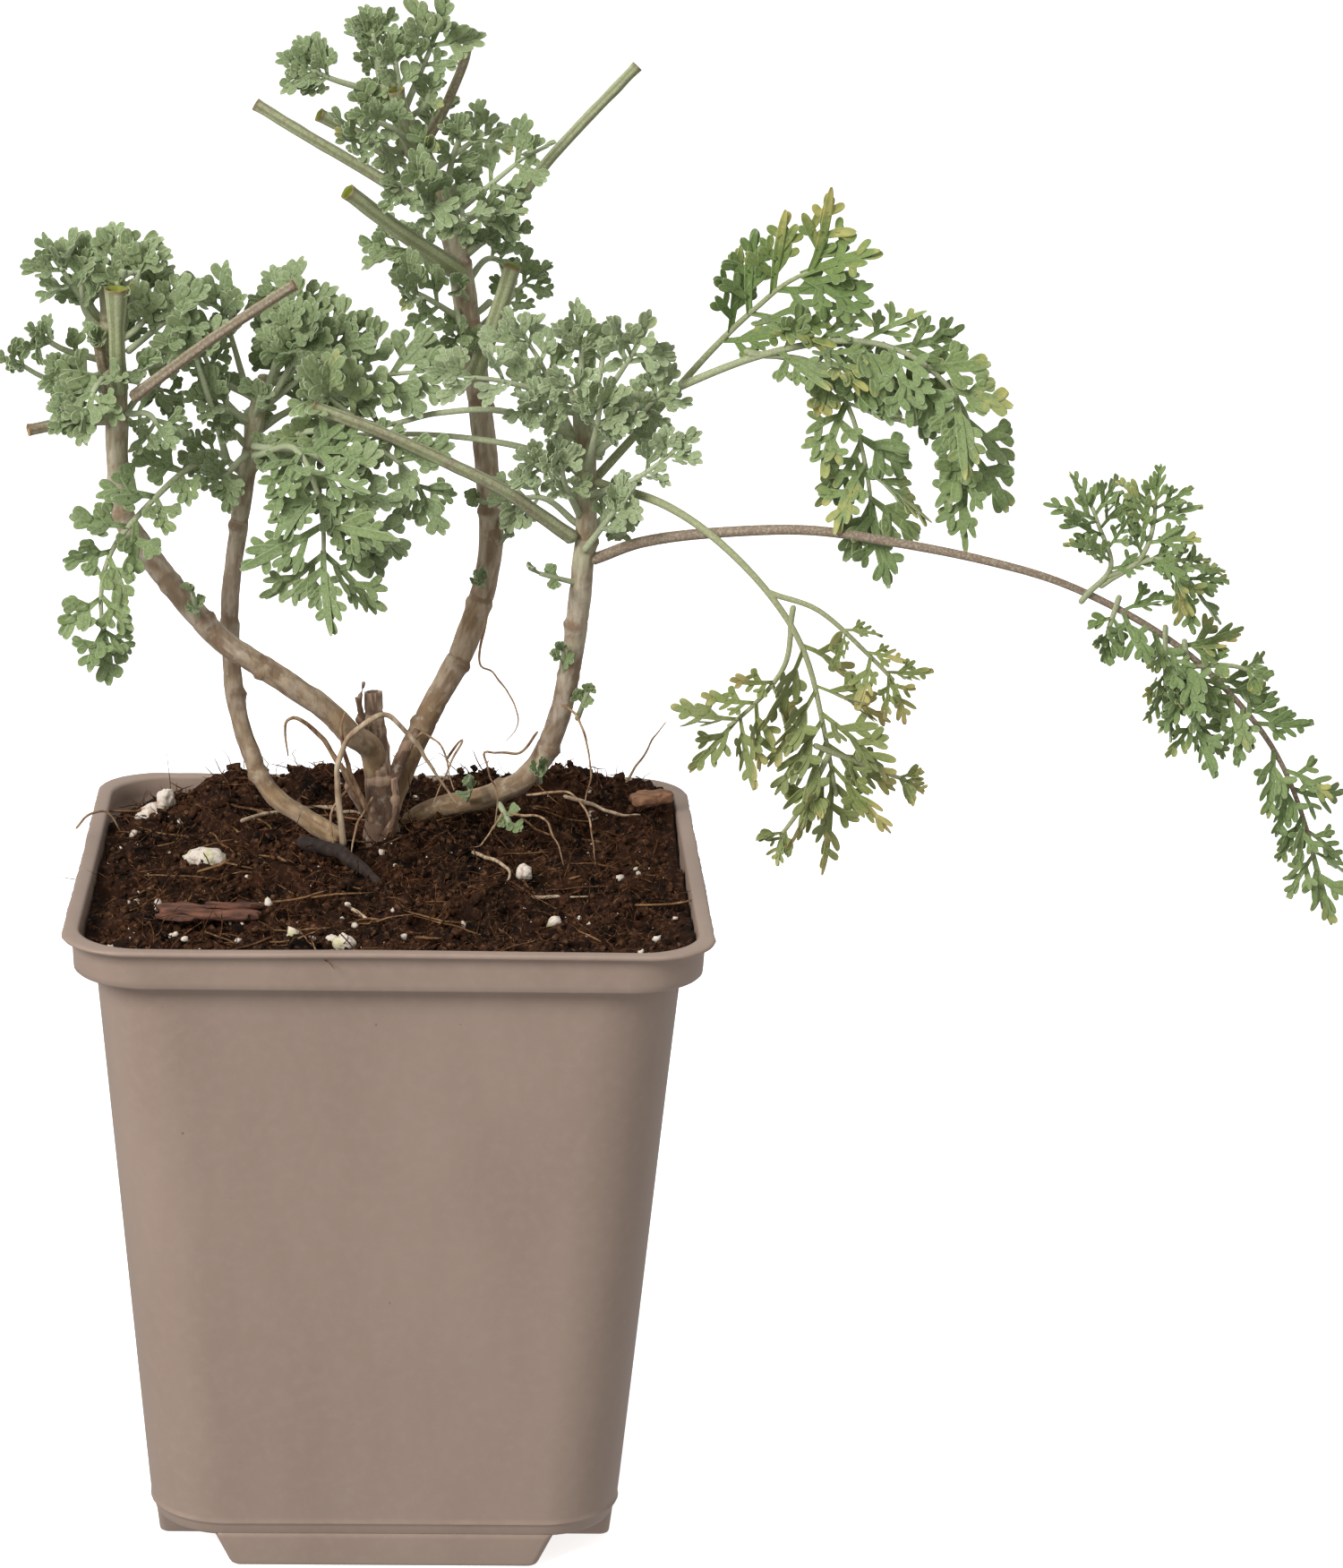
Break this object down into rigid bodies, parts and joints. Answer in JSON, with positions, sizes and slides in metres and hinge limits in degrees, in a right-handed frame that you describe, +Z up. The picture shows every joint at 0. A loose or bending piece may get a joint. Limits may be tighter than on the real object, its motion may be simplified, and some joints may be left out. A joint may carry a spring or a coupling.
{
  "type": "potted wormwood plant",
  "caption": "Wormwood plant with leaning stems, felted feathery leaves and pruned leaf stalks, growing in a square tapered nursery pot of peat soil.",
  "frame": {"origin": "centre of the pot's flat underside, on the surface it stands on", "axes": "+Z up through the pot, -Y towards the viewer at the pot's plain front side, +X towards the side over which the longest leaves hang"},
  "size_m": [0.1919, 0.09, 0.2193],
  "materials": {
    "pot_plastic": "semi-matt moulded nursery pot plastic, warm taupe, with fine specks and a trace of mould flash",
    "soil": "dark fibrous peat and coir, damp and crumbly",
    "perlite": "white, porous, crumbly grains",
    "bark": "rough red-brown bark",
    "old_wood": "dark, furrowed, partly dead woody crown",
    "dark_root": "near-black dried root",
    "straw": "dry straw-coloured stalk",
    "young_stem": "tan to mauve-grey bark with leaf scars, olive at the growing ends",
    "leaf_stalk": "ribbed green stalk, tinged brown where it was cut",
    "leaf": "grey-green, silky-felted on both faces, with paler margins and veins",
    "withered_leaf": "shrivelled, dull green to straw and brown"
  },
  "bodies": {
    "root": {"bark_chip": "bark", "bark_flake": "bark", "centre_leaf_front": "leaf", "centre_leaf_left": "leaf", "centre_leaf_right": "leaf", "cut_stalk_crossing": "leaf_stalk", "cut_stalk_left_high": "leaf_stalk", "cut_stalk_left_low": "leaf_stalk", "cut_stalk_short": "leaf_stalk", "cut_stalk_thick": "leaf_stalk", "cut_stalk_top": "leaf_stalk", "cut_stalk_top_left": "leaf_stalk", "cut_stalk_top_right": "leaf_stalk", "dark_root": "dark_root", "dry_straw": "straw", "front_left_leaf_hanging": "leaf", "front_left_leaf_inner": "leaf", "front_left_leaf_long": "leaf", "front_left_leaf_outer": "leaf", "front_left_leaf_side": "leaf", "front_left_leaf_stalked": "leaf", "front_left_leaf_top": "leaf", "left_leaf_drooping": "leaf", "left_leaf_front": "leaf", "left_leaf_inner": "leaf", "left_leaf_lower": "leaf", "left_leaf_middle": "leaf", "left_leaf_top": "leaf", "left_leaf_upper": "leaf", "perlite_1": "perlite", "perlite_2": "perlite", "perlite_3": "perlite", "perlite_4": "perlite", "pot": "pot_plastic", "potting_soil": "soil", "right_leaf_arching": "leaf", "right_leaf_back": "leaf", "right_leaf_folded": "leaf", "right_leaf_high_left": "leaf", "right_leaf_left": "leaf", "right_leaf_long_left": "leaf", "right_leaf_low": "leaf", "right_leaf_outer": "leaf", "right_leaf_tall": "leaf", "right_leaf_top": "leaf", "right_leaf_trailing": "leaf", "right_leaf_upper": "leaf", "right_leaf_withered": "withered_leaf", "rootstock_crown": "old_wood", "stem_centre": "young_stem", "stem_front_left": "young_stem", "stem_left": "young_stem", "stem_right": "young_stem", "top_leaf_back": "leaf", "top_leaf_back_right": "leaf", "top_leaf_front": "leaf", "top_leaf_left": "leaf", "top_leaf_left_low": "leaf", "top_leaf_right": "leaf", "top_leaf_right_low": "leaf"}
  },
  "joints": []
}
